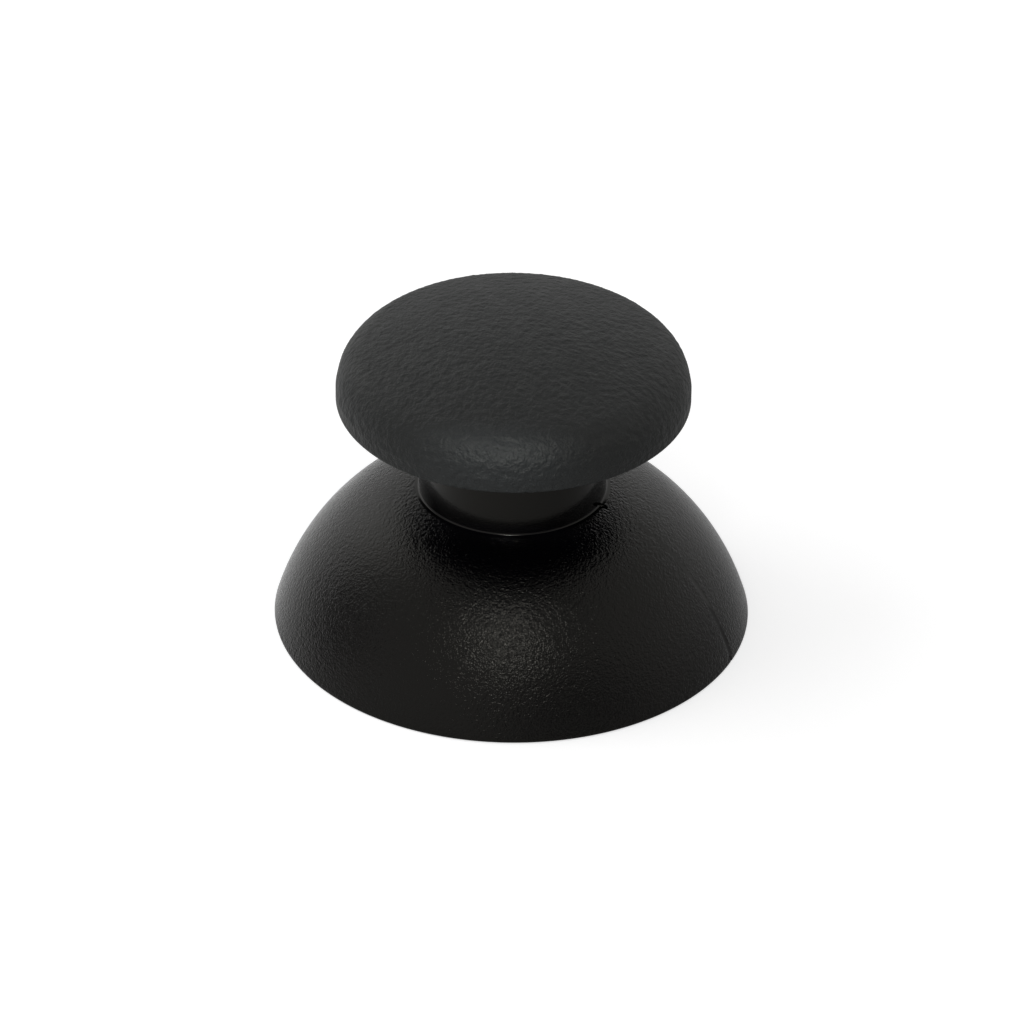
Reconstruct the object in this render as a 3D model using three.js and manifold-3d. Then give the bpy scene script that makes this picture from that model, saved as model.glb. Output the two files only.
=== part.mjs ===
// Thumbstick cap of a game controller. A hard moulding has a domed skirt, a stem, a carrier disc
// and, inside the skirt, a ribbed boss with a socket for the stick's shaft. A soft top covers the
// disc and wraps under its edge.
// Millimetres, +Z up, origin at the centre of the skirt's rim. X lies in the plane where the two
// halves of the mould met, and the flats of the socket run along X.
import * as THREE from "three";
import { mergeVertices } from "three/addons/utils/BufferGeometryUtils.js";
import Module from "manifold-3d";

// Skirt: a shell whose wide band is a sphere about the point that the stick tilts on. Nearer to the
// axis it turns in to the stem on a tighter arc, so that its top is flatter than the sphere's.
const TILT_CENTRE_DROP = 3.5; // below the rim
const SKIRT_RADIUS = 12.91;
const SKIRT_TURN_START = 9; // distance from the axis
const SKIRT_TURN_RADIUS = 7.4;
const SKIRT_WALL = 1.2;
const RIM_EDGE_RADIUS = 0.12;

// Stem, from the top of the skirt to the underside of the top
const STEM_RADIUS = 4.85;
const STEM_LENGTH = 5.28;
const STEM_FOOT_FILLET = 0.25;
const STEM_HEAD_FILLET = 0.4;

// Top: a flat underside, a short upright wall, a round shoulder and a shallow crown
const TOP_RADIUS = 9.15;
const TOP_LOWER_EDGE_RADIUS = 0.15;
const TOP_WALL_HEIGHT = 0.65;
const SHOULDER_RADIUS = 2.2;
const CROWN_RADIUS = 24.5;

// Soft skin over the carrier disc, and its lip in the step under the disc's edge
const SKIN_THICKNESS = 1.1;
const LIP_THICKNESS = 0.75;
const LIP_COVER = 0.4; // the lip's share of the width between the stem and the disc's edge
const BOND_LINE = 0.05;
const DISC_EDGE_RADIUS = 0.5;

// Shaft of the stick, round with two flats, and the boss that holds it
const SHAFT_DIAMETER = 4;
const SHAFT_ACROSS_FLATS = 3;
const SHAFT_CLEARANCE = 0.05; // on each side
const SOCKET_DEPTH = 6.9;
const SOCKET_LEAD_IN = 0.4;
const BOSS_WALL = 1.25;
const BOSS_MOUTH_HEIGHT = 2.6; // above the rim
const BOSS_MOUTH_CHAMFER = 0.2;
const BOSS_ROOT_FILLET = 0.5;

// Ribs between the boss and the skirt's ceiling, on the diagonals
const RIB_COUNT = 4;
const RIB_THICKNESS = 0.9;
const RIB_DEPTH = 2.4; // down the boss from the ceiling
const RIB_REACH = 4.2; // out from the boss along the ceiling
const RIB_ROOT = 0.4; // how far a rib runs on inside the boss

// Facets: the whole turn, each large arc and each small one
const TURN_STEPS = 64;
const BAND_STEPS = 7;
const TURN_IN_STEPS = 7;
const SHOULDER_STEPS = 7;
const CROWN_STEPS = 6;
const EDGE_STEPS = 3;

// Colours of the two materials
const HARD_COLOUR = 0x1b1a18;
const SOFT_COLOUR = 0x2f3132;

// Sizes that follow from those above
const TILT_CENTRE = { r: 0, z: -TILT_CENTRE_DROP };
const TURN_ANGLE = Math.acos(SKIRT_TURN_START / SKIRT_RADIUS);
const TURN_CENTRE = {
  r: (SKIRT_RADIUS - SKIRT_TURN_RADIUS) * Math.cos(TURN_ANGLE),
  z: (SKIRT_RADIUS - SKIRT_TURN_RADIUS) * Math.sin(TURN_ANGLE) - TILT_CENTRE_DROP,
};
const STEM_FOOT_HEIGHT = turnHeight(0, STEM_RADIUS);
const TOP_UNDERSIDE = STEM_FOOT_HEIGHT + STEM_LENGTH;
const SHOULDER_CENTRE = {
  r: TOP_RADIUS - SHOULDER_RADIUS,
  z: TOP_UNDERSIDE + TOP_LOWER_EDGE_RADIUS + TOP_WALL_HEIGHT,
};
const CROWN_CENTRE_Z = SHOULDER_CENTRE.z - other(CROWN_RADIUS - SHOULDER_RADIUS, SHOULDER_CENTRE.r);
const STEM_HEAD_RADIUS = STEM_RADIUS + STEM_HEAD_FILLET;
const SOCKET_RADIUS = SHAFT_DIAMETER / 2 + SHAFT_CLEARANCE;
const SOCKET_HALF_FLATS = SHAFT_ACROSS_FLATS / 2 + SHAFT_CLEARANCE;
const BOSS_RADIUS = SOCKET_RADIUS + BOSS_WALL;

const wasm = await Module();
wasm.setup();

// The second short side of a right triangle, from its long side and its first short side.
function other(long, short) {
  return Math.sqrt(long * long - short * short);
}

// Height above the rim, at distance r from the axis, of a face that lies a given depth inside the
// skirt's turned-in top.
function turnHeight(depth, r) {
  return TURN_CENTRE.z + other(SKIRT_TURN_RADIUS - depth, r - TURN_CENTRE.r);
}

// Direction from one point of the (r, z) half plane to another, in radians.
function direction(from, to) {
  return Math.atan2(to.z - from.z, to.r - from.r);
}

// Points along an arc in the (r, z) half plane, from one angle to another in radians.
function arc(centre, radius, from, to, steps) {
  return Array.from({ length: steps + 1 }, (_, i) => {
    const angle = from + ((to - from) * i) / steps;
    return new THREE.Vector2(
      centre.r + radius * Math.cos(angle),
      centre.z + radius * Math.sin(angle),
    );
  });
}

// A solid of revolution about Z. Its outline runs with the material on its left.
function revolve(outline) {
  return new THREE.LatheGeometry(outline, TURN_STEPS).rotateX(Math.PI / 2);
}

// A closed geometry as a manifold solid, and back.
function toSolid(geometry) {
  const bare = geometry.index ? geometry.toNonIndexed() : geometry.clone();
  bare.deleteAttribute("normal");
  bare.deleteAttribute("uv");
  const merged = mergeVertices(bare, 1e-4);
  const mesh = new wasm.Mesh({
    numProp: 3,
    vertProperties: merged.attributes.position.array,
    triVerts: new Uint32Array(merged.index.array),
  });
  return new wasm.Manifold(mesh);
}

function toGeometry(solid) {
  const mesh = solid.getMesh();
  const geometry = new THREE.BufferGeometry();
  geometry.setAttribute("position", new THREE.BufferAttribute(mesh.vertProperties, 3));
  geometry.setIndex(new THREE.BufferAttribute(mesh.triVerts, 1));
  geometry.computeVertexNormals();
  return geometry;
}

// Outline of the hard moulding, from the middle of the boss's mouth round to the disc's crown.
function mouldingOutline() {
  return [
    new THREE.Vector2(0, BOSS_MOUTH_HEIGHT),
    ...bossSide(),
    ...skirtFaces(),
    ...stemSide(),
    ...discSide(),
  ];
}

function bossSide() {
  return [
    new THREE.Vector2(BOSS_RADIUS - BOSS_MOUTH_CHAMFER, BOSS_MOUTH_HEIGHT),
    new THREE.Vector2(BOSS_RADIUS, BOSS_MOUTH_HEIGHT + BOSS_MOUTH_CHAMFER),
  ];
}

// The fillet at the boss's root, the ceiling down to the rim, the rim's edges and the outer dome.
function skirtFaces() {
  const root = { r: BOSS_RADIUS + BOSS_ROOT_FILLET };
  root.z = turnHeight(SKIRT_WALL + BOSS_ROOT_FILLET, root.r);
  const foot = { r: STEM_RADIUS + STEM_FOOT_FILLET };
  foot.z = turnHeight(-STEM_FOOT_FILLET, foot.r);
  const rootAngle = direction(TURN_CENTRE, root);
  const footAngle = direction(TURN_CENTRE, foot);
  const inner = rimEdge(SKIRT_RADIUS - SKIRT_WALL + RIM_EDGE_RADIUS);
  const outer = rimEdge(SKIRT_RADIUS - RIM_EDGE_RADIUS);
  const ceiling = SKIRT_RADIUS - SKIRT_WALL;
  const turnCeiling = SKIRT_TURN_RADIUS - SKIRT_WALL;
  const down = 1.5 * Math.PI;
  return [
    ...arc(root, BOSS_ROOT_FILLET, Math.PI, rootAngle, EDGE_STEPS),
    ...arc(TURN_CENTRE, turnCeiling, rootAngle, TURN_ANGLE, TURN_IN_STEPS).slice(1),
    ...arc(TILT_CENTRE, ceiling, TURN_ANGLE, inner.angle, BAND_STEPS).slice(1),
    ...arc(inner, RIM_EDGE_RADIUS, Math.PI + inner.angle, down, EDGE_STEPS).slice(1),
    ...arc(outer, RIM_EDGE_RADIUS, down, 2 * Math.PI + outer.angle, EDGE_STEPS),
    ...arc(TILT_CENTRE, SKIRT_RADIUS, outer.angle, TURN_ANGLE, BAND_STEPS).slice(1),
    ...arc(TURN_CENTRE, SKIRT_TURN_RADIUS, TURN_ANGLE, footAngle, TURN_IN_STEPS).slice(1),
    ...arc(foot, STEM_FOOT_FILLET, Math.PI + footAngle, Math.PI, EDGE_STEPS).slice(1),
  ];
}

// Centre of an edge rounding that stands on the rim's plane, at a given distance from the tilt
// centre, and its direction from there.
function rimEdge(distance) {
  const rise = TILT_CENTRE_DROP + RIM_EDGE_RADIUS;
  return { r: other(distance, rise), z: RIM_EDGE_RADIUS, angle: Math.asin(rise / distance) };
}

function stemSide() {
  const head = { r: STEM_HEAD_RADIUS, z: TOP_UNDERSIDE - STEM_HEAD_FILLET };
  return arc(head, STEM_HEAD_FILLET, Math.PI, Math.PI / 2, EDGE_STEPS);
}

// The disc's step for the lip, its edge and its crown, all inside the skin by the bond line.
function discSide() {
  const inset = seatOutline(BOND_LINE);
  return [new THREE.Vector2(inset[0].x, TOP_UNDERSIDE), ...inset];
}

// The seat between the disc and the skin, from the lip's inner end to the axis. The gap is how far
// the seat lies inside the skin.
function seatOutline(gap) {
  const edgeRadius = TOP_RADIUS - SKIN_THICKNESS;
  const lipInner = edgeRadius - LIP_COVER * (edgeRadius - STEM_HEAD_RADIUS);
  const lipTop = TOP_UNDERSIDE + LIP_THICKNESS;
  const crown = CROWN_RADIUS - SKIN_THICKNESS;
  const corner = { r: edgeRadius - DISC_EDGE_RADIUS };
  corner.z = CROWN_CENTRE_Z + other(crown - DISC_EDGE_RADIUS, corner.r);
  const cornerEnd = Math.atan2(corner.z - CROWN_CENTRE_Z, corner.r);
  const crownCentre = { r: 0, z: CROWN_CENTRE_Z };
  return [
    new THREE.Vector2(lipInner - gap, lipTop + gap),
    new THREE.Vector2(edgeRadius - gap, lipTop + gap),
    ...arc(corner, DISC_EDGE_RADIUS - gap, 0, cornerEnd, EDGE_STEPS),
    ...arc(crownCentre, crown - gap, cornerEnd, Math.PI / 2, CROWN_STEPS).slice(1),
  ];
}

// Outline of the soft top: its seat outwards from the axis, its lip, then its outer faces.
function softTopOutline() {
  const seat = seatOutline(0).reverse();
  const lipInner = seat.at(-1).x;
  const edge = {
    r: TOP_RADIUS - TOP_LOWER_EDGE_RADIUS,
    z: TOP_UNDERSIDE + TOP_LOWER_EDGE_RADIUS,
  };
  const crownCentre = { r: 0, z: CROWN_CENTRE_Z };
  const shoulderEnd = Math.atan2(SHOULDER_CENTRE.z - CROWN_CENTRE_Z, SHOULDER_CENTRE.r);
  return [
    ...seat,
    new THREE.Vector2(lipInner, TOP_UNDERSIDE),
    ...arc(edge, TOP_LOWER_EDGE_RADIUS, -Math.PI / 2, 0, EDGE_STEPS),
    ...arc(SHOULDER_CENTRE, SHOULDER_RADIUS, 0, shoulderEnd, SHOULDER_STEPS),
    ...arc(crownCentre, CROWN_RADIUS, shoulderEnd, Math.PI / 2, CROWN_STEPS).slice(1),
  ];
}

// Section of the shaft's socket: a circle with two flats along X.
function socketSection() {
  const corner = Math.asin(SOCKET_HALF_FLATS / SOCKET_RADIUS);
  const section = new THREE.Shape();
  section.absarc(0, 0, SOCKET_RADIUS, -corner, corner, false);
  section.absarc(0, 0, SOCKET_RADIUS, Math.PI - corner, Math.PI + corner, false);
  return section;
}

// The blind socket and the bevel that leads the shaft into its mouth.
function socketCutters() {
  const bore = new THREE.ExtrudeGeometry(socketSection(), {
    depth: SOCKET_DEPTH + SOCKET_LEAD_IN,
    bevelEnabled: false,
  });
  bore.translate(0, 0, BOSS_MOUTH_HEIGHT - SOCKET_LEAD_IN);
  const leadIn = new THREE.ExtrudeGeometry(socketSection(), {
    depth: SOCKET_LEAD_IN,
    bevelThickness: SOCKET_LEAD_IN,
    bevelSize: SOCKET_LEAD_IN,
    bevelSegments: 1,
  });
  leadIn.translate(0, 0, BOSS_MOUTH_HEIGHT - SOCKET_LEAD_IN);
  return [toSolid(bore), toSolid(leadIn)];
}

// One rib, upright along +X: its foot slopes from the boss out to the ceiling, and its back lies
// in the middle of the skirt's wall.
function ribGeometry() {
  const back = SKIRT_TURN_RADIUS - SKIRT_WALL / 2;
  const inside = BOSS_RADIUS - RIB_ROOT;
  const foot = turnHeight(SKIRT_WALL, BOSS_RADIUS) - RIB_DEPTH;
  const outEnd = { r: BOSS_RADIUS + RIB_REACH };
  outEnd.z = turnHeight(SKIRT_WALL, outEnd.r);
  const outAngle = direction(TURN_CENTRE, outEnd);
  const inAngle = Math.acos((inside - TURN_CENTRE.r) / back);
  const section = new THREE.Shape();
  section.moveTo(inside, foot);
  section.lineTo(BOSS_RADIUS, foot);
  section.lineTo(outEnd.r, outEnd.z);
  section.absarc(TURN_CENTRE.r, TURN_CENTRE.z, back, outAngle, inAngle, false);
  section.closePath();
  const rib = new THREE.ExtrudeGeometry(section, {
    depth: RIB_THICKNESS,
    bevelEnabled: false,
    curveSegments: EDGE_STEPS,
  });
  return rib.translate(0, 0, -RIB_THICKNESS / 2).rotateX(Math.PI / 2);
}

function makeStickBody() {
  let body = toSolid(revolve(mouldingOutline()));
  for (let i = 0; i < RIB_COUNT; i += 1) {
    const angle = ((i + 0.5) * 2 * Math.PI) / RIB_COUNT;
    body = body.add(toSolid(ribGeometry().rotateZ(angle)));
  }
  for (const cutter of socketCutters()) {
    body = body.subtract(cutter);
  }
  const material = new THREE.MeshStandardMaterial({
    color: HARD_COLOUR,
    roughness: 0.4,
    metalness: 0,
  });
  const mesh = new THREE.Mesh(toGeometry(body), material);
  mesh.name = "stick_body";
  return mesh;
}

function makeSoftTop() {
  const material = new THREE.MeshStandardMaterial({
    color: SOFT_COLOUR,
    roughness: 0.85,
    metalness: 0,
  });
  const mesh = new THREE.Mesh(toGeometry(toSolid(revolve(softTopOutline()))), material);
  mesh.name = "soft_top";
  return mesh;
}

const cap = new THREE.Group();
cap.name = "thumbstick_cap";
cap.add(makeStickBody(), makeSoftTop());

export default cap;
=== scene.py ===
# %% [markdown]
# # A thumbstick cap
# The cap that a thumb pushes on a game controller. A hard black moulding has a domed skirt, a short
# stem and a carrier disc, and a soft grey-black top is moulded over the disc.
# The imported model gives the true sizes. This script loads it as a fixed frame and models both
# pieces again with fine surfaces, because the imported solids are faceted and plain.

# %% Load the frame
import math
import bpy
from mathutils import Matrix, Vector


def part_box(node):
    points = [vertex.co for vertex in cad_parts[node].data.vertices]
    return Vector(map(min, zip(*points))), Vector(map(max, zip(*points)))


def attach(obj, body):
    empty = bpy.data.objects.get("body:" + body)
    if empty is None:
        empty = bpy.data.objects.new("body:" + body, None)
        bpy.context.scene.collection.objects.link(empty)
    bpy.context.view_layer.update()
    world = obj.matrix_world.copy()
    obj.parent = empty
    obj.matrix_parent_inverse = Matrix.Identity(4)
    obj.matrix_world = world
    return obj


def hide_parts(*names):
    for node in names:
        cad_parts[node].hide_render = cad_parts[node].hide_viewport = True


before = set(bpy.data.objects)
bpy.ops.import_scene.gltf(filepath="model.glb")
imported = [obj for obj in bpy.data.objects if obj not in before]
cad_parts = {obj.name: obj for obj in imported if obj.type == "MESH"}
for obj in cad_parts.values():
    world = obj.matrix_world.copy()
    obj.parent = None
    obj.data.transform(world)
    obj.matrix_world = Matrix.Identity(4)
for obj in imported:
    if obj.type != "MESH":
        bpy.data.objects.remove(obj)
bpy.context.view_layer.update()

MM = 0.001
print("pieces in the frame:", sorted(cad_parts))

# %% [markdown]
# ## Camera
# The photograph was taken from about 0.4 m, so the rim is an almost true ellipse. Its long and
# short axes give the camera's height, and the way that the ellipse narrows to the back gives the
# distance. The mould's seam, which lies on +X here, shows 22.5 degrees in front of the right-hand
# side, so the camera is turned by that angle about the axis.

# %% Place the camera
CAMERA_ELEVATION = math.radians(32.87)
CAMERA_DISTANCE = 400.5 * MM
CAMERA_TURN = math.radians(22.5)
CAMERA_ROLL = math.radians(0.585)
AIM_HEIGHT = 6.07 * MM
AIM_LEFT = 0.015 * MM
PHOTO_SIDE = 1024
PIXELS_PER_MM = 19.256
SENSOR_WIDTH = 36
NEAREST_SEEN = 10 * MM


def towards(turn, elevation):
    """Direction from the part to a place in front of it, turned to the right and raised."""
    flat = math.cos(elevation)
    return Vector((math.sin(turn) * flat, -math.cos(turn) * flat, math.sin(elevation)))


def deselect_all():
    """Leaves edit mode and selects nothing."""
    if bpy.context.object and bpy.context.object.mode != "OBJECT":
        bpy.ops.object.mode_set(mode="OBJECT")
    bpy.ops.object.select_all(action="DESELECT")


deselect_all()
aim = Vector((-math.cos(CAMERA_TURN), -math.sin(CAMERA_TURN), 0)) * AIM_LEFT
aim.z = AIM_HEIGHT
camera_place = aim + towards(CAMERA_TURN, CAMERA_ELEVATION) * CAMERA_DISTANCE
bpy.ops.object.camera_add(location=camera_place)
camera = bpy.context.object
camera.name = "photo_camera"
camera.rotation_mode = "QUATERNION"
look = (aim - camera_place).to_track_quat("-Z", "Y")
camera.rotation_quaternion = look @ Matrix.Rotation(CAMERA_ROLL, 3, "Z").to_quaternion()
camera.data.sensor_width = SENSOR_WIDTH
focal_pixels = PIXELS_PER_MM * CAMERA_DISTANCE / MM
camera.data.lens = focal_pixels / PHOTO_SIDE * SENSOR_WIDTH
camera.data.clip_start = NEAREST_SEEN
bpy.context.scene.camera = camera
print("lens in mm:", round(camera.data.lens, 1))

# %% [markdown]
# ## Outlines
# Both pieces were moulded round, so each is one outline turned about the axis. The outline is built
# from the same arcs as the solids. The skirt's wide band is a sphere about the point that the stick
# tilts on, which lets it slide under the controller's shell with an even gap, and nearer to the
# stem it turns in on a tighter arc. Each arc is cut into short steps where the surface gets grain.

# %% Sizes of the moulding
body_low, body_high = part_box("stick_body")
top_low, top_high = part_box("soft_top")
TILT_CENTRE = Vector((0, -3.5)) * MM
SKIRT_RADIUS = 12.9053 * MM
SKIRT_TURN_START = 9 * MM
SKIRT_TURN_RADIUS = 7.4 * MM
SKIRT_WALL = 1.2 * MM
RIM_EDGE_RADIUS = 0.12 * MM
STEM_RADIUS = 4.85 * MM
STEM_FOOT_FILLET = 0.12 * MM
STEM_HEAD_FILLET = 0.4 * MM
SOCKET_RADIUS = 2.05 * MM
BOSS_RADIUS = 3.3 * MM
BOSS_MOUTH_HEIGHT = 2.6 * MM
BOSS_MOUTH_CHAMFER = 0.2 * MM
BOSS_ROOT_FILLET = 0.5 * MM
TURN_ANGLE = math.acos(SKIRT_TURN_START / SKIRT_RADIUS)
TURN_CENTRE = TILT_CENTRE + (SKIRT_RADIUS - SKIRT_TURN_RADIUS) * Vector(
    (math.cos(TURN_ANGLE), math.sin(TURN_ANGLE))
)
print("skirt across, in mm:", round((body_high.x - body_low.x) / MM, 2))

# %% Sizes of the soft top
TOP_RADIUS = top_high.x
TOP_UNDERSIDE = top_low.z
TOP_HEIGHT = top_high.z
TOP_LOWER_EDGE_RADIUS = 0.15 * MM
TOP_WALL_HEIGHT = 0.65 * MM
SHOULDER_RADIUS = 2.2 * MM
SKIN_THICKNESS = 1.1 * MM
LIP_THICKNESS = 0.75 * MM
LIP_INNER_RADIUS = 6.93 * MM
BOND_LINE = 0.05 * MM
DISC_EDGE_RADIUS = 0.5 * MM
CROWN_RADIUS = 24.5 * MM
SHOULDER_CENTRE = Vector(
    (TOP_RADIUS - SHOULDER_RADIUS, TOP_UNDERSIDE + TOP_LOWER_EDGE_RADIUS + TOP_WALL_HEIGHT)
)
CROWN_CENTRE = Vector((0, TOP_HEIGHT - CROWN_RADIUS))
print("top across and height, in mm:", round(2 * TOP_RADIUS / MM, 2), round(TOP_HEIGHT / MM, 2))

# %% Draw arcs and outlines
GRAIN_STEP = 0.13 * MM
PLAIN_STEP = 0.8 * MM
EDGE_STEP = 0.03 * MM
SMALLEST_COUNT = 4
HOLD = 0.04 * MM


def arc(centre, radius, start, end, step):
    """Points along an arc in the plane of distance and height, a given step apart."""
    count = max(SMALLEST_COUNT, math.ceil(abs(end - start) * radius / step))
    angles = (start + (end - start) * i / count for i in range(count + 1))
    return [centre + radius * Vector((math.cos(a), math.sin(a))) for a in angles]


def direction(start, end):
    """Angle of the line from one point to another."""
    return math.atan2(end.y - start.y, end.x - start.x)


def on_turn(depth, distance):
    """A point a depth inside the skirt's turned-in top, at a distance from the axis."""
    across = distance - TURN_CENTRE.x
    rise = math.sqrt((SKIRT_TURN_RADIUS - depth) ** 2 - across**2)
    return Vector((distance, TURN_CENTRE.y + rise))


def rim_edge(distance):
    """Centre of an edge rounding on the rim's plane, a given distance from the tilt centre."""
    rise = RIM_EDGE_RADIUS - TILT_CENTRE.y
    return Vector((math.sqrt(distance**2 - rise**2), RIM_EDGE_RADIUS))


def seat(gap):
    """The seat between disc and skin, from the lip's inner end to the axis."""
    edge = TOP_RADIUS - SKIN_THICKNESS
    lip_top = TOP_UNDERSIDE + LIP_THICKNESS + gap
    crown = CROWN_RADIUS - SKIN_THICKNESS
    across = edge - DISC_EDGE_RADIUS
    rise = math.sqrt((crown - DISC_EDGE_RADIUS) ** 2 - across**2)
    corner = Vector((across, CROWN_CENTRE.y + rise))
    turn = direction(CROWN_CENTRE, corner)
    return [
        Vector((LIP_INNER_RADIUS - gap, lip_top)),
        Vector((edge - gap, lip_top)),
        *arc(corner, DISC_EDGE_RADIUS - gap, 0, turn, PLAIN_STEP),
        *arc(CROWN_CENTRE, crown - gap, turn, math.pi / 2, PLAIN_STEP)[1:],
    ]


# %% Outline of the moulding
def moulding_outline():
    """From the middle of the boss's mouth, round the skirt and up the stem to the disc's crown."""
    root = on_turn(SKIRT_WALL + BOSS_ROOT_FILLET, BOSS_RADIUS + BOSS_ROOT_FILLET)
    foot = on_turn(-STEM_FOOT_FILLET, STEM_RADIUS + STEM_FOOT_FILLET)
    head = Vector((STEM_RADIUS + STEM_HEAD_FILLET, TOP_UNDERSIDE - STEM_HEAD_FILLET))
    inner = rim_edge(SKIRT_RADIUS - SKIRT_WALL + RIM_EDGE_RADIUS)
    outer = rim_edge(SKIRT_RADIUS - RIM_EDGE_RADIUS)
    root_angle = direction(TURN_CENTRE, root)
    foot_angle = direction(TURN_CENTRE, foot)
    inner_angle = direction(TILT_CENTRE, inner)
    outer_angle = direction(TILT_CENTRE, outer)
    down = 1.5 * math.pi
    ceiling = SKIRT_RADIUS - SKIRT_WALL
    disc = seat(BOND_LINE)
    return [
        Vector((0, BOSS_MOUTH_HEIGHT)),
        Vector((BOSS_RADIUS - BOSS_MOUTH_CHAMFER, BOSS_MOUTH_HEIGHT)),
        Vector((BOSS_RADIUS, BOSS_MOUTH_HEIGHT + BOSS_MOUTH_CHAMFER)),
        *arc(root, BOSS_ROOT_FILLET, math.pi, root_angle, PLAIN_STEP),
        *arc(TURN_CENTRE, SKIRT_TURN_RADIUS - SKIRT_WALL, root_angle, TURN_ANGLE, PLAIN_STEP)[1:],
        *arc(TILT_CENTRE, ceiling, TURN_ANGLE, inner_angle, PLAIN_STEP)[1:],
        *arc(inner, RIM_EDGE_RADIUS, math.pi + inner_angle, down, EDGE_STEP)[1:],
        *arc(outer, RIM_EDGE_RADIUS, down, 2 * math.pi + outer_angle, EDGE_STEP),
        *arc(TILT_CENTRE, SKIRT_RADIUS, outer_angle, TURN_ANGLE, GRAIN_STEP)[1:],
        *arc(TURN_CENTRE, SKIRT_TURN_RADIUS, TURN_ANGLE, foot_angle, GRAIN_STEP)[1:],
        *arc(foot, STEM_FOOT_FILLET, math.pi + foot_angle, math.pi, EDGE_STEP)[1:],
        Vector((STEM_RADIUS, foot.y + HOLD)),
        Vector((STEM_RADIUS, head.y - HOLD)),
        *arc(head, STEM_HEAD_FILLET, math.pi, math.pi / 2, PLAIN_STEP),
        Vector((disc[0].x, TOP_UNDERSIDE)),
        *disc,
    ]


# %% Outline of the soft top
def soft_top_outline():
    """From the axis out along the seat, round the lip, then up the outer faces to the axis."""
    inside = seat(0)[::-1]
    edge = Vector((TOP_RADIUS, TOP_UNDERSIDE)) + TOP_LOWER_EDGE_RADIUS * Vector((-1, 1))
    shoulder_end = direction(CROWN_CENTRE, SHOULDER_CENTRE)
    return [
        *inside,
        Vector((inside[-1].x, TOP_UNDERSIDE)),
        *arc(edge, TOP_LOWER_EDGE_RADIUS, -math.pi / 2, 0, EDGE_STEP),
        Vector((TOP_RADIUS, edge.y + HOLD)),
        Vector((TOP_RADIUS, SHOULDER_CENTRE.y - HOLD)),
        *arc(SHOULDER_CENTRE, SHOULDER_RADIUS, 0, shoulder_end, GRAIN_STEP),
        *arc(CROWN_CENTRE, CROWN_RADIUS, shoulder_end, math.pi / 2, GRAIN_STEP)[1:],
    ]


# %% [markdown]
# ## Turning an outline into a piece
# A round moulding could be a subdivided cylinder, but its arcs would only be close. Drawing the
# outline and spinning it gives the exact form, with faces of known size for the grain. The outline
# starts as one vertex, which is a small circle merged to its centre, and is drawn by extrusion. A
# quarter is spun and then copied round, which is much quicker than one long spin.

# %% Trace and spin
TURN_STEPS = 480
QUARTER = math.pi / 2
WELD = 1e-6


def trace(name, points):
    """A new object, left in edit mode, whose mesh is a chain of edges through the points."""
    deselect_all()
    start = points[0]
    bpy.ops.mesh.primitive_circle_add(vertices=3, radius=MM, location=(0, 0, 0))
    piece = bpy.context.object
    piece.name = name
    bpy.ops.object.mode_set(mode="EDIT")
    bpy.ops.mesh.merge(type="CENTER")
    bpy.ops.transform.translate(value=(start.x, 0, start.y))
    for here, there in zip(points, points[1:]):
        step = there - here
        bpy.ops.mesh.extrude_region_move(TRANSFORM_OT_translate={"value": (step.x, 0, step.y)})
    return piece


def spin(steps, angle, copies):
    """Turns what is selected about the part's axis, as a swept face or as copies."""
    bpy.ops.mesh.select_all(action="SELECT")
    bpy.ops.mesh.spin(
        steps=steps,
        angle=angle,
        dupli=copies,
        use_auto_merge=False,
        center=(0, 0, 0),
        axis=(0, 0, 1),
    )


def close_up():
    """Welds the seam and points every face outwards."""
    bpy.ops.mesh.select_all(action="SELECT")
    bpy.ops.mesh.remove_doubles(threshold=WELD)
    bpy.ops.mesh.normals_make_consistent(inside=False)
    bpy.ops.object.mode_set(mode="OBJECT")


def turn(name, outline):
    """A round piece from its outline."""
    piece = trace(name, outline)
    spin(TURN_STEPS // 4, QUARTER, False)
    spin(3, 3 * QUARTER, True)
    close_up()
    print(name, "faces:", len(piece.data.polygons))
    return piece


body = turn("hard_moulding", moulding_outline())
top = turn("soft_skin", soft_top_outline())

# %% [markdown]
# ## Inside the skirt
# Under the cap a boss with a blind socket is pressed on to the stick's shaft. The socket is round
# with two flats, so the cap can't turn. Four ribs brace the boss. They could be separate pieces
# pushed into the boss, but in a real moulding they are one with it, so they are joined and the
# socket is cut with booleans.

# %% Join a tool or cut it out
def combine(piece, tool, operation):
    """Applies a boolean between a piece and a tool, then removes the tool."""
    deselect_all()
    bpy.context.view_layer.objects.active = piece
    piece.select_set(True)
    bpy.ops.object.modifier_add(type="BOOLEAN")
    boolean = piece.modifiers[-1]
    boolean.operation = operation
    boolean.object = tool
    boolean.solver = "EXACT"
    bpy.ops.object.modifier_apply(modifier=boolean.name)
    deselect_all()
    tool.select_set(True)
    bpy.ops.object.delete()
    print(piece.name, operation.lower(), "faces now:", len(piece.data.polygons))


# %% Join the four ribs
RIB_COUNT = 4
RIB_THICKNESS = 0.9 * MM
RIB_DEPTH = 2.4 * MM
RIB_REACH = 4.2 * MM
RIB_ROOT = 0.4 * MM
RIB_EDGE = 0.1 * MM
RIB_EDGE_STEPS = 3


def select_edges(piece, wanted):
    """In edit mode, selects the edges whose two ends both pass a test."""
    bpy.ops.mesh.select_all(action="DESELECT")
    bpy.ops.mesh.select_mode(type="EDGE")
    bpy.ops.object.mode_set(mode="OBJECT")
    corners = [vertex.co for vertex in piece.data.vertices]
    for edge in piece.data.edges:
        edge.select = all(wanted(corners[v]) for v in edge.vertices)
    bpy.ops.object.mode_set(mode="EDIT")


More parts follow.
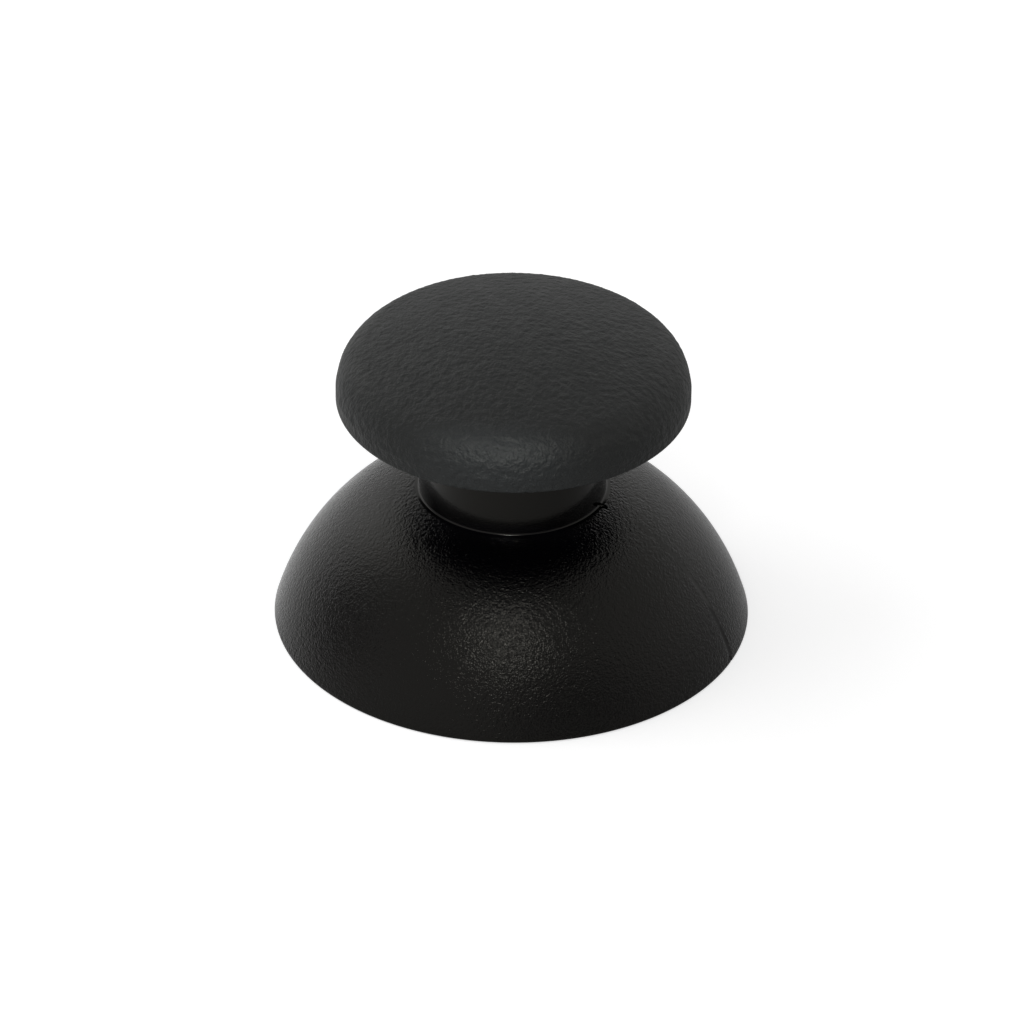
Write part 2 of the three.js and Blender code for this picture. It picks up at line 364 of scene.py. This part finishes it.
foot_height = on_turn(SKIRT_WALL, BOSS_RADIUS).y - RIB_DEPTH
rib_end = on_turn(SKIRT_WALL, BOSS_RADIUS + RIB_REACH)
rib_back = on_turn(SKIRT_WALL / 2, BOSS_RADIUS - RIB_ROOT)
back_radius = SKIRT_TURN_RADIUS - SKIRT_WALL / 2
back_angle = direction(TURN_CENTRE, rib_back)
rib_outline = [
    Vector((rib_back.x, foot_height)),
    Vector((BOSS_RADIUS, foot_height)),
    rib_end,
    *arc(TURN_CENTRE, back_radius, direction(TURN_CENTRE, rib_end), back_angle, PLAIN_STEP),
]
ribs = trace("ribs", rib_outline)
bpy.ops.mesh.select_all(action="SELECT")
bpy.ops.mesh.edge_face_add()
bpy.ops.mesh.extrude_region_move(TRANSFORM_OT_translate={"value": (0, RIB_THICKNESS, 0)})
bpy.ops.mesh.select_all(action="SELECT")
bpy.ops.transform.translate(value=(0, -RIB_THICKNESS / 2, 0))
bpy.ops.mesh.normals_make_consistent(inside=False)
slope = (rib_end.y - foot_height) / (rib_end.x - BOSS_RADIUS)
select_edges(ribs, lambda p: p.z < foot_height + slope * max(0, p.x - BOSS_RADIUS) + WELD)
bpy.ops.mesh.bevel(offset=RIB_EDGE, segments=RIB_EDGE_STEPS)
bpy.ops.mesh.select_all(action="SELECT")
bpy.ops.transform.rotate(
    value=math.pi / RIB_COUNT, orient_axis="Z", center_override=(0, 0, 0)
)
spin(RIB_COUNT - 1, 2 * math.pi * (RIB_COUNT - 1) / RIB_COUNT, True)
close_up()
combine(body, ribs, "UNION")

# %% Cut the socket
SOCKET_HALF_FLATS = 1.55 * MM
SOCKET_FLOOR = 9.5 * MM
SOCKET_LEAD_IN = 0.4 * MM
SOCKET_SIDES = 96

deselect_all()
mouth = BOSS_MOUTH_HEIGHT + SOCKET_LEAD_IN
bpy.ops.mesh.primitive_cylinder_add(
    vertices=SOCKET_SIDES,
    radius=SOCKET_RADIUS,
    depth=SOCKET_FLOOR - mouth,
    location=(0, 0, (SOCKET_FLOOR + mouth) / 2),
)
socket = bpy.context.object
bpy.ops.object.transform_apply()
bpy.ops.object.mode_set(mode="EDIT")
for side in (-1, 1):
    bpy.ops.mesh.select_all(action="SELECT")
    bpy.ops.mesh.bisect(
        plane_co=(0, side * SOCKET_HALF_FLATS, 0),
        plane_no=(0, side, 0),
        clear_outer=True,
        use_fill=True,
    )
select_edges(socket, lambda p: p.z < mouth + WELD)
bpy.ops.mesh.select_mode(type="FACE")
bpy.ops.mesh.extrude_region_move(TRANSFORM_OT_translate={"value": (0, 0, -SOCKET_LEAD_IN)})
widen = (
    1 + SOCKET_LEAD_IN / SOCKET_RADIUS,
    1 + SOCKET_LEAD_IN / SOCKET_HALF_FLATS,
    1,
)
bpy.ops.transform.resize(value=widen, center_override=(0, 0, 0))
bpy.ops.mesh.extrude_region_move(TRANSFORM_OT_translate={"value": (0, 0, -SOCKET_LEAD_IN)})
close_up()

# %% [markdown]
# ## Parting line
# The two halves of the mould met along this plane, and left a fine line on the skirt. On the
# right-hand side it ends in a small nick at the rim and in a pit where the skirt meets the stem. A
# dark stripe in the material would look painted from near by, so nick and pit are cut together with
# the socket, and the line is a real groove. Two cuts are made either side of the row of vertices on
# the seam, and the row is pressed in, more and more towards the rim.

# %% Cut the socket, the nick and the pit
NICK_RADIUS = 0.13 * MM
NICK_HEIGHT = 1.1 * MM
PIT_RADIUS = 0.2 * MM
PIT_STRETCH = 1.5
BELOW_RIM = 0.1 * MM
SMALL_CUT_SIDES = 24
SMALL_CUT_RINGS = 16

stem_foot = on_turn(0, STEM_RADIUS + PIT_RADIUS)
rim_outside = rim_edge(SKIRT_RADIUS - RIM_EDGE_RADIUS).x + RIM_EDGE_RADIUS
deselect_all()
bpy.ops.mesh.primitive_cone_add(
    vertices=SMALL_CUT_SIDES,
    radius1=NICK_RADIUS,
    radius2=0,
    depth=NICK_HEIGHT,
    location=(rim_outside, 0, NICK_HEIGHT / 2 - BELOW_RIM),
)
nick = bpy.context.object
bpy.ops.mesh.primitive_uv_sphere_add(
    segments=SMALL_CUT_SIDES,
    ring_count=SMALL_CUT_RINGS,
    radius=PIT_RADIUS,
    location=(stem_foot.x, 0, stem_foot.y),
)
pit = bpy.context.object
pit.scale.x = PIT_STRETCH
bpy.ops.object.transform_apply()
nick.select_set(True)
socket.select_set(True)
bpy.context.view_layer.objects.active = socket
bpy.ops.object.join()
combine(body, socket, "DIFFERENCE")

# %% Press in the parting line
GROOVE_HALF_WIDTH = 0.06 * MM
GROOVE_BANDS = ((7.2 * MM, 0.006 * MM), (4.6 * MM, 0.014 * MM), (2.0 * MM, 0.03 * MM))
GROOVE_LIMIT = 0.1 * MM
ON_FACE = 5e-6


def depth_in_skirt(place):
    """How deep a place lies under the skirt's outer face, and infinite on the stem."""
    flat = Vector((math.hypot(place.x, place.y), place.z))
    if flat.x > SKIRT_TURN_START:
        return SKIRT_RADIUS - (flat - TILT_CENTRE).length
    return SKIRT_TURN_RADIUS - (flat - TURN_CENTRE).length if flat.x > STEM_RADIUS else math.inf


def on_outer_skirt(place):
    """Whether a place lies on the skirt's outer face."""
    return abs(depth_in_skirt(place)) < ON_FACE


def in_seam(place, height):
    """Whether a place lies in the row on the seam, below a height."""
    return abs(place.y) < WELD and place.z < height and abs(depth_in_skirt(place)) < GROOVE_LIMIT


deselect_all()
bpy.context.view_layer.objects.active = body
bpy.ops.object.mode_set(mode="EDIT")
for offset in (-GROOVE_HALF_WIDTH, GROOVE_HALF_WIDTH):
    select_edges(body, on_outer_skirt)
    bpy.ops.mesh.bisect(plane_co=(0, offset, 0), plane_no=(0, 1, 0))
for height, depth in GROOVE_BANDS:
    select_edges(body, lambda p: in_seam(p, height))
    bpy.ops.transform.shrink_fatten(value=-depth)
bpy.ops.object.mode_set(mode="OBJECT")
print("parting line, vertices in the last band:", sum(v.select for v in body.data.vertices))

# %% [markdown]
# ## Grain
# The skirt's mould was spark eroded, which leaves a fine granular skin. The soft top has a shallow
# leathery grain. Both could be a bump in the material alone, but the leather's grain is deep enough
# to catch the light, so it is pressed into the mesh. The skirt's grain is only a few micrometres
# deep, so the mesh gets its coarsest part and the sparkle is left to the material. Every grain goes
# inwards, so the piece keeps its size.

# %% Choose where the grain goes
def weigh(piece, name, weight_at):
    """A vertex group with a weight for every vertex, from its distance to the axis and height."""
    group = piece.vertex_groups.new(name=name)
    for vertex in piece.data.vertices:
        weight = weight_at(vertex.co)
        if weight > 0:
            group.add([vertex.index], min(1, weight), "REPLACE")
    return name


def press_grain(piece, group, texture, depth):
    """Presses a pattern into the grouped part of a piece, to a given depth."""
    deselect_all()
    bpy.context.view_layer.objects.active = piece
    piece.select_set(True)
    bpy.ops.object.modifier_add(type="DISPLACE")
    displace = piece.modifiers[-1]
    displace.texture = texture
    displace.texture_coords = "LOCAL"
    displace.vertex_group = group
    displace.mid_level = 1
    displace.strength = depth
    bpy.ops.object.modifier_apply(modifier=displace.name)


# %% Grain on the skirt
SPARK_SIZE = 0.2 * MM
SPARK_DEPTH = 0.005 * MM
FADE = 0.25 * MM

spark = bpy.data.textures.new("spark_grain", "CLOUDS")
spark.noise_scale = SPARK_SIZE
spark.noise_depth = 1


def skirt_weight(place):
    """Full on the skirt's outer face, fading at the rim and at the stem's foot."""
    if not on_outer_skirt(place):
        return 0
    flat = math.hypot(place.x, place.y)
    return min((place.z - RIM_EDGE_RADIUS) / FADE, (flat - STEM_RADIUS - STEM_FOOT_FILLET) / FADE)


press_grain(body, weigh(body, "grained_skirt", skirt_weight), spark, SPARK_DEPTH)

# %% Grain on the soft top
LEATHER_SIZE = 0.42 * MM
LEATHER_DEPTH = 0.05 * MM

leather = bpy.data.textures.new("leather_grain", "CLOUDS")
leather.noise_basis = "VORONOI_F2_F1"
leather.noise_scale = LEATHER_SIZE
leather.noise_depth = 1


def on_top_face(place):
    """Whether a place lies on the top's shoulder or crown."""
    flat = Vector((math.hypot(place.x, place.y), place.z))
    on_shoulder = abs((flat - SHOULDER_CENTRE).length - SHOULDER_RADIUS) < ON_FACE
    return on_shoulder or abs((flat - CROWN_CENTRE).length - CROWN_RADIUS) < ON_FACE


def top_weight(place):
    """Full on the shoulder and crown, fading at the shoulder's foot."""
    return (place.z - SHOULDER_CENTRE.y) / FADE if on_top_face(place) else 0


press_grain(top, weigh(top, "grained_top", top_weight), leather, LEATHER_DEPTH)
print("grain depths in mm:", SPARK_DEPTH / MM, LEATHER_DEPTH / MM)

# %% [markdown]
# ## Finishes
# Both plastics are nearly black, so almost everything that the eye sees on them is reflection.
# Their look comes from three things: how strong and how blurred the reflection is, how the finest
# grain breaks it, and a very dark base colour. Patterns read the Object coordinates, so they stay
# on the piece and need no unwrapping.

# %% Build a plastic
PATCH_SIZE = 1.2 * MM
PATCH_CHANGE = 0.15
GRAIN_DETAIL = 2
WARM = (1, 0.97, 0.87)
NEARLY_BLACK = (0.0009, 0.0008, 0.0012)
SOFT_GREY = (0.0062, 0.0074, 0.0085)


def plastic(name, colour, roughness, reflection, grains):
    """A dark plastic with blurred reflections and grains, each with a size and a depth."""
    material = bpy.data.materials.new(name)
    material.use_nodes = True
    nodes = material.node_tree.nodes
    links = material.node_tree.links
    shader = nodes["Principled BSDF"]
    shader.inputs["Base Color"].default_value = (*colour, 1)
    shader.inputs["Specular IOR Level"].default_value = reflection
    shader.inputs["Specular Tint"].default_value = (*WARM, 1)
    place = nodes.new("ShaderNodeTexCoord").outputs["Object"]
    patch = nodes.new("ShaderNodeTexNoise")
    patch.inputs["Scale"].default_value = 1 / PATCH_SIZE
    links.new(place, patch.inputs["Vector"])
    spread = nodes.new("ShaderNodeMapRange")
    spread.inputs["To Min"].default_value = roughness * (1 - PATCH_CHANGE)
    spread.inputs["To Max"].default_value = roughness * (1 + PATCH_CHANGE)
    links.new(patch.outputs["Fac"], spread.inputs["Value"])
    links.new(spread.outputs["Result"], shader.inputs["Roughness"])
    normal = None
    for size, depth in grains:
        noise = nodes.new("ShaderNodeTexNoise")
        noise.inputs["Scale"].default_value = 1 / size
        noise.inputs["Detail"].default_value = GRAIN_DETAIL
        links.new(place, noise.inputs["Vector"])
        bump = nodes.new("ShaderNodeBump")
        bump.inputs["Distance"].default_value = depth
        links.new(noise.outputs["Fac"], bump.inputs["Height"])
        if normal:
            links.new(normal, bump.inputs["Normal"])
        normal = bump.outputs["Normal"]
    links.new(normal, shader.inputs["Normal"])
    return material


SPARK_FINISH = plastic(
    "hard_plastic_grained",
    NEARLY_BLACK,
    roughness=0.12,
    reflection=0.15,
    grains=[(0.2 * MM, 0.037 * MM), (0.1 * MM, 0.02 * MM)],
)
GLOSS_FINISH = plastic(
    "hard_plastic_smooth",
    NEARLY_BLACK,
    roughness=0.12,
    reflection=0.16,
    grains=[(0.9 * MM, 0.003 * MM)],
)
SOFT_FINISH = plastic(
    "soft_rubber_leathery",
    SOFT_GREY,
    roughness=0.55,
    reflection=0.26,
    grains=[(0.36 * MM, 0.16 * MM), (0.1 * MM, 0.035 * MM)],
)

# %% Put the finishes on
SMOOTH_ANGLE = math.radians(35)
body.data.materials.clear()
top.data.materials.clear()
body.data.materials.append(GLOSS_FINISH)
body.data.materials.append(SPARK_FINISH)
top.data.materials.append(SOFT_FINISH)
grained = {v.index for v in body.data.vertices if v.groups and v.groups[0].weight > 0}
for face in body.data.polygons:
    face.material_index = 1 if all(v in grained for v in face.vertices) else 0
for piece in (body, top):
    deselect_all()
    bpy.context.view_layer.objects.active = piece
    piece.select_set(True)
    bpy.ops.object.shade_smooth_by_angle(angle=SMOOTH_ANGLE)
print("grained faces:", sum(face.material_index for face in body.data.polygons))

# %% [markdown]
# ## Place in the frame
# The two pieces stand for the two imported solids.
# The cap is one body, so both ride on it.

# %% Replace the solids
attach(body, "root")
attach(top, "root")
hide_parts("stick_body")
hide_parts("soft_top")

# %% [markdown]
# ## Floor, background and light
# The photograph is a studio picture on white. A black glossy object shows its surroundings more
# than its own colour, so what it reflects matters most: a white room with three darker parts, and
# paper under the cap with painted light that only reflections see, brighter on the left and fading
# out to the right. A small soft lamp in front gives the sparkling patch on the skirt, large ones
# behind and on the left give the soft edges, and a narrow flat beam gives the band along the top's
# front shoulder. The paper is lifted towards white where the camera sees it, and it still takes the
# shadow.

# %% Find what a ray is
def combine_values(tree, operation, first, second):
    """One value from two, by a named operation."""
    node = tree.nodes.new("ShaderNodeMath")
    node.operation = operation
    tree.links.new(first, node.inputs[0])
    tree.links.new(second, node.inputs[1])
    return node.outputs[0]


def seen_directly(tree):
    """A value of 1 for rays from the camera, from reflections and through clear things."""
    path = tree.nodes.new("ShaderNodeLightPath").outputs
    direct = combine_values(tree, "MAXIMUM", path["Is Camera Ray"], path["Is Glossy Ray"])
    return combine_values(tree, "MAXIMUM", direct, path["Is Transmission Ray"])


# %% Light from all round
WORLD_LEVEL = 0.42

world = bpy.data.worlds.new("white_studio")
bpy.context.scene.world = world
world.use_nodes = True
tree = world.node_tree
light_from_world = tree.nodes["Background"]
light_from_world.inputs["Color"].default_value = (1, 1, 1, 1)
light_from_world.inputs["Strength"].default_value = WORLD_LEVEL
white = tree.nodes.new("ShaderNodeBackground")
white.inputs["Color"].default_value = (1, 1, 1, 1)
choose = tree.nodes.new("ShaderNodeMixShader")
tree.links.new(seen_directly(tree), choose.inputs[0])
tree.links.new(light_from_world.outputs[0], choose.inputs[1])
tree.links.new(white.outputs[0], choose.inputs[2])
tree.links.new(choose.outputs[0], tree.nodes["World Output"].inputs["Surface"])

# %% Darken parts of the room
def room_shade(turned, raised, inner, outer, level):
    """A value of 1 that falls to a level inside a round patch of the room, in degrees."""
    middle = towards(CAMERA_TURN + math.radians(turned), math.radians(raised))
    facing = tree.nodes.new("ShaderNodeVectorMath")
    facing.operation = "DOT_PRODUCT"
    facing.inputs[1].default_value = middle
    tree.links.new(tree.nodes.new("ShaderNodeTexCoord").outputs["Generated"], facing.inputs[0])
    shade = tree.nodes.new("ShaderNodeMapRange")
    shade.interpolation_type = "SMOOTHSTEP"
    shade.inputs["From Min"].default_value = math.cos(math.radians(outer))
    shade.inputs["From Max"].default_value = math.cos(math.radians(inner))
    shade.inputs["To Min"].default_value = 1
    shade.inputs["To Max"].default_value = level
    tree.links.new(facing.outputs["Value"], shade.inputs["Value"])
    return shade.outputs["Result"]


# where each dark part lies from the camera's side, where it ends, and how dark it is
DARK_PARTS = {
    "front, below the lamp": {"turned": 30, "raised": -12, "inner": 20, "outer": 48, "level": 0.3},
    "front, above the lamp": {"turned": 15, "raised": 75, "inner": 12, "outer": 36, "level": 0.45},
    "left, beside the table": {"turned": -102, "raised": 8, "inner": 8, "outer": 26, "level": 0.35},
}
all_shades = None
for part in DARK_PARTS.values():
    shade = room_shade(**part)
    all_shades = combine_values(tree, "MULTIPLY", all_shades, shade) if all_shades else shade
camera_ray = tree.nodes.new("ShaderNodeLightPath").outputs["Is Camera Ray"]
room_level = combine_values(tree, "MAXIMUM", camera_ray, all_shades)
tree.links.new(room_level, white.inputs["Strength"])


# %% Set up the lamps
def soft_lamp(name, turned, raised, away, width, height, power):
    """A soft lamp that looks at the cap, turned from the camera's side and raised, in degrees."""
    deselect_all()
    place = aim + towards(CAMERA_TURN + math.radians(turned), math.radians(raised)) * away
    bpy.ops.object.light_add(type="AREA", location=place)
    lamp = bpy.context.object
    lamp.name = name
    lamp.data.shape = "RECTANGLE"
    lamp.data.size = width
    lamp.data.size_y = height
    lamp.data.energy = power
    lamp.rotation_euler = (aim - place).to_track_quat("-Z", "Y").to_euler()
    return lamp


soft_lamp(
    "front_lamp", turned=-3, raised=45.5, away=0.35, width=0.11, height=0.04, power=0.25
)
soft_lamp("back_lamp", turned=-130, raised=32, away=0.5, width=0.36, height=0.36, power=0.33)
left_lamp = soft_lamp(
    "left_lamp", turned=-90, raised=35, away=0.5, width=0.4, height=0.4, power=0.9
)
left_lamp.visible_glossy = False

# %% Aim a narrow lamp at the shoulder
BEAM_TURN = CAMERA_TURN + math.radians(-6)
BEAM_RAISED = math.radians(48)
BEAM_AWAY = 0.35
BEAM_HALF_WIDTH = 5 * MM
BEAM_FLATNESS = 0.18
BEAM_EDGE_BLUR = 0.8
BEAM_COLOUR = (0.9, 0.95, 1)
BEAM_SOURCE = 2 * MM
BEAM_POWER = 11

deselect_all()
beam_end = towards(BEAM_TURN, 0) * TOP_RADIUS
beam_end.z = SHOULDER_CENTRE.y + SHOULDER_RADIUS / 2
beam_start = beam_end + towards(BEAM_TURN, BEAM_RAISED) * BEAM_AWAY
bpy.ops.object.light_add(type="SPOT", location=beam_start)
narrow_lamp = bpy.context.object
narrow_lamp.name = "narrow_lamp"
narrow_lamp.data.spot_size = 2 * math.atan(BEAM_HALF_WIDTH / BEAM_AWAY)
narrow_lamp.data.spot_blend = BEAM_EDGE_BLUR
narrow_lamp.scale.y = BEAM_FLATNESS
narrow_lamp.data.color = BEAM_COLOUR
narrow_lamp.data.shadow_soft_size = BEAM_SOURCE
narrow_lamp.data.energy = BEAM_POWER
narrow_lamp.rotation_euler = (beam_end - beam_start).to_track_quat("-Z", "Y").to_euler()

# %% Lay the floor
FLOOR_SIDE = 3
FLOOR_GREY = 0.7
FLOOR_LIFT = 0.55
# painted light on the paper, seen in reflections: its strength on the left and right, the half
# width of its fade, and the way it fades
PAINTED_LIGHT_LEFT = 0.42
PAINTED_LIGHT_RIGHT = 0.0
PAINTED_LIGHT_FADE_HALF = 30 * MM
PAINTED_LIGHT_DIRECTION = towards(CAMERA_TURN + math.radians(110), 0)
FLOOR_GAP = 0.01 * MM

deselect_all()
bpy.ops.mesh.primitive_plane_add(size=FLOOR_SIDE, location=(0, 0, -FLOOR_GAP))
floor = bpy.context.object
floor.name = "pale_floor"
paper = bpy.data.materials.new("white_paper")
paper.use_nodes = True
tree = paper.node_tree
matte = tree.nodes["Principled BSDF"]
matte.inputs["Base Color"].default_value = (FLOOR_GREY, FLOOR_GREY, FLOOR_GREY, 1)
matte.inputs["Roughness"].default_value = 1
matte.inputs["Specular IOR Level"].default_value = 0
# Painted light: reflections see the paper glow brighter on the left and fade to nothing on the
# right, as if lit from the left; the camera sees only the even lift.
across = tree.nodes.new("ShaderNodeVectorMath")
across.operation = "DOT_PRODUCT"
across.inputs[1].default_value = PAINTED_LIGHT_DIRECTION
tree.links.new(tree.nodes.new("ShaderNodeTexCoord").outputs["Object"], across.inputs[0])
painted_light_fade = tree.nodes.new("ShaderNodeMapRange")
painted_light_fade.interpolation_type = "SMOOTHSTEP"
painted_light_fade.inputs["From Min"].default_value = -PAINTED_LIGHT_FADE_HALF
painted_light_fade.inputs["From Max"].default_value = PAINTED_LIGHT_FADE_HALF
painted_light_fade.inputs["To Min"].default_value = PAINTED_LIGHT_LEFT
painted_light_fade.inputs["To Max"].default_value = PAINTED_LIGHT_RIGHT
tree.links.new(across.outputs["Value"], painted_light_fade.inputs["Value"])
camera_ray = tree.nodes.new("ShaderNodeLightPath").outputs["Is Camera Ray"]
lift = tree.nodes.new("ShaderNodeValue").outputs[0]
lift.default_value = FLOOR_LIFT
camera_lift = combine_values(tree, "MULTIPLY", camera_ray, lift)
lift_and_painted_light_level = combine_values(tree, "MAXIMUM", camera_lift, painted_light_fade.outputs["Result"])
paper_emission_with_painted_light = combine_values(tree, "MULTIPLY", lift_and_painted_light_level, seen_directly(tree))
matte.inputs["Emission Color"].default_value = (1, 1, 1, 1)
tree.links.new(paper_emission_with_painted_light, matte.inputs["Emission Strength"])
floor.data.materials.append(paper)

# %% Colour settings
bpy.context.scene.view_settings.view_transform = "Standard"
